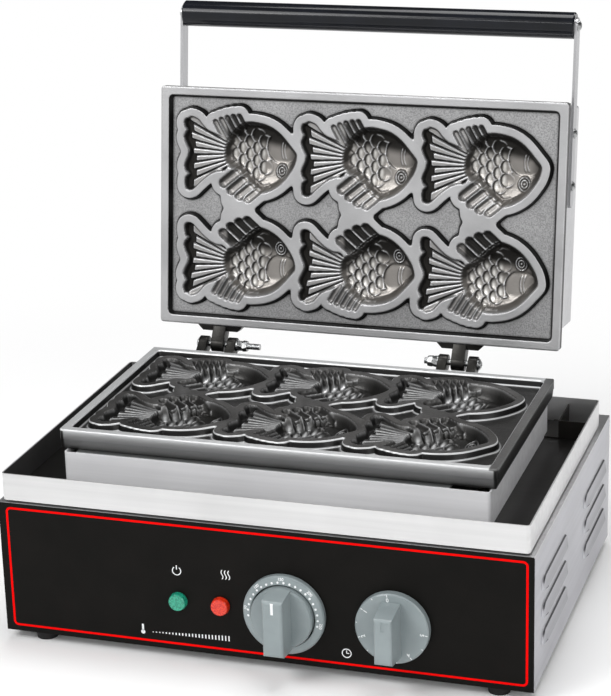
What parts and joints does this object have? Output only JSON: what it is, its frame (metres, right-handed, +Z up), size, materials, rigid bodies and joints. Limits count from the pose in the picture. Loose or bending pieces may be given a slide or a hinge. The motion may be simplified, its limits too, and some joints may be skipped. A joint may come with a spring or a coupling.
{
  "type": "taiyaki maker",
  "caption": "Countertop electric maker for fish-shaped waffles: cast mould plates, hinged upper plate with handle, drip pan, timer and temperature knobs.",
  "frame": {"origin": "on the floor under the middle of the object's outline with the lid open", "axes": "+Z up, +X to the right of someone facing the controls, the controls face -Y"},
  "size_m": [0.413, 0.3758, 0.4298],
  "materials": {
    "stainless_sheet": "brushed",
    "galvanised_sheet": "satin",
    "cast_plate_seasoned": "oiled",
    "cast_plate_bare": "satin",
    "screws": "bright",
    "black_label": "satin film",
    "grey_knob": "satin",
    "dark_bar": "gloss",
    "green_lens": "gloss",
    "red_lens": "gloss",
    "black_plastic": "matte",
    "pale_plastic": "matte",
    "rubber": "matte",
    "heater_sheath": "heat tinted",
    "insulation_board": "matte fibre board"
  },
  "bodies": {
    "root": {"bottom_plate": "galvanised_sheet", "rubber_feet": "rubber", "front_panel": "galvanised_sheet", "control_label": "black_label", "left_side_panel": "stainless_sheet", "right_side_panel": "stainless_sheet", "rear_panel": "stainless_sheet", "cable_gland": "black_plastic", "top_deck": "stainless_sheet", "pan_seal": "rubber", "drip_pan": "stainless_sheet", "lead_guard": "stainless_sheet", "heater_box": "stainless_sheet", "plate_support": "galvanised_sheet", "lower_plate": "cast_plate_seasoned", "lower_heating_element": "heater_sheath", "lower_element_clamp": "galvanised_sheet", "lower_insulation": "insulation_board", "hinge_bolts": "screws", "hinge_washers": "screws", "hinge_nuts": "screws", "power_lamp_lens": "green_lens", "heat_lamp_lens": "red_lens", "power_lamp_body": "black_plastic", "heat_lamp_body": "black_plastic", "thermostat_body": "pale_plastic", "temperature_ring": "grey_knob", "timer_body": "black_plastic", "terminal_block": "pale_plastic", "panel_screws": "screws"},
    "lid": {"upper_plate": "cast_plate_bare", "lid_cover": "stainless_sheet", "upper_heating_element": "heater_sheath", "upper_element_clamp": "galvanised_sheet", "upper_insulation": "insulation_board", "lid_lead_bush": "black_plastic", "left_handle_arm": "stainless_sheet", "right_handle_arm": "stainless_sheet", "handle_bar": "dark_bar", "handle_screws": "screws", "arm_screws": "screws"},
    "thermostat_knob": {"thermostat_knob": "grey_knob", "thermostat_shaft": "screws"},
    "timer_knob": {"timer_knob": "grey_knob", "timer_shaft": "screws"}
  },
  "joints": [
    {"name": "lid_hinge", "type": "hinge", "parent": "root", "child": "lid", "pos_m": [0, 0.09286, 0.1596], "axis": [1, 0, 0], "range_deg": [0, 98]},
    {"name": "thermostat_turn", "type": "hinge", "parent": "root", "child": "thermostat_knob", "pos_m": [0.02, -0.15794, 0.048], "axis": [0, 1, 0], "range_deg": [-95, 101]},
    {"name": "timer_turn", "type": "hinge", "parent": "root", "child": "timer_knob", "pos_m": [0.1017, -0.15794, 0.048], "axis": [0, 1, 0], "range_deg": [0, 270]}
  ]
}
